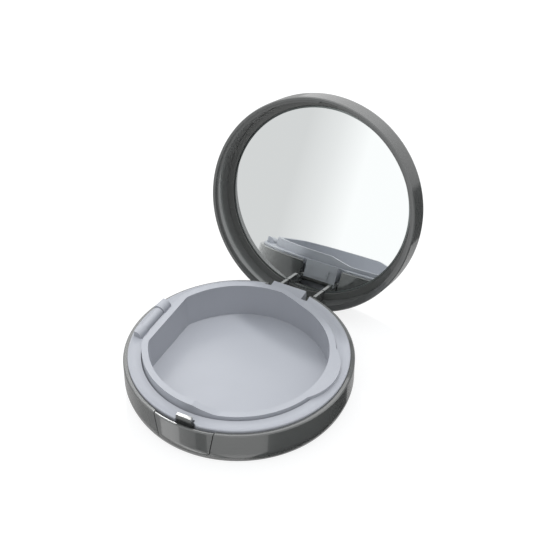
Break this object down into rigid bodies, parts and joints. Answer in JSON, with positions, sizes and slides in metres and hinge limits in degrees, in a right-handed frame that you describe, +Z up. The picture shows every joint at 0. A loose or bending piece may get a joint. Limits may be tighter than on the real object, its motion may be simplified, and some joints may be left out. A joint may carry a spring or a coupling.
{
  "type": "hinged palette compact",
  "caption": "Round palette compact with a hinged mirror lid, a press latch and a lift-out well with a grip tab, seated in a light inner ring.",
  "frame": {"origin": "centre of the foot's underside, on the table", "axes": "+X right (grip tab side), -Y front (press latch), +Y back (main hinge), +Z up"},
  "size_m": [0.078, 0.1165, 0.0761],
  "materials": {
    "shell": "glossy dark grey moulded plastic, slightly worn along its edges",
    "liner": "satin light cool-grey moulded plastic",
    "lid_liner": "glossy dark grey moulded plastic inside the lid",
    "mirror": "silvered flat mirror with a ground edge",
    "pin_steel": "bright drawn steel rod",
    "spring_steel": "bright spring wire",
    "pad": "thin white adhesive foam"
  },
  "bodies": {
    "base": {"foot_cover": "shell", "base_shell": "shell", "inner_ring": "liner", "cover_hinge_bar": "liner", "hinge_pin": "pin_steel", "button_spring": "spring_steel"},
    "well": {"well": "liner"},
    "button": {"press_button": "shell"},
    "lid": {"lid_shell": "shell", "mirror_frame": "lid_liner", "mirror": "mirror", "mirror_pad": "pad"}
  },
  "joints": [
    {"name": "lid_hinge", "type": "hinge", "parent": "base", "child": "lid", "pos_m": [0, 0.036, 0.0071], "axis": [1, 0, 0], "range_deg": [0, 108.6]},
    {"name": "button_press", "type": "slide", "parent": "base", "child": "button", "axis": [0, 1, 0], "range_m": [0, 0.0007], "stiffness_N_per_m": 600, "springref_m": -0.0005, "deforming": ["button_spring"]},
    {"name": "well_lift", "type": "slide", "parent": "base", "child": "well", "axis": [0, 0, 1], "range_m": [0, 0.002]}
  ]
}
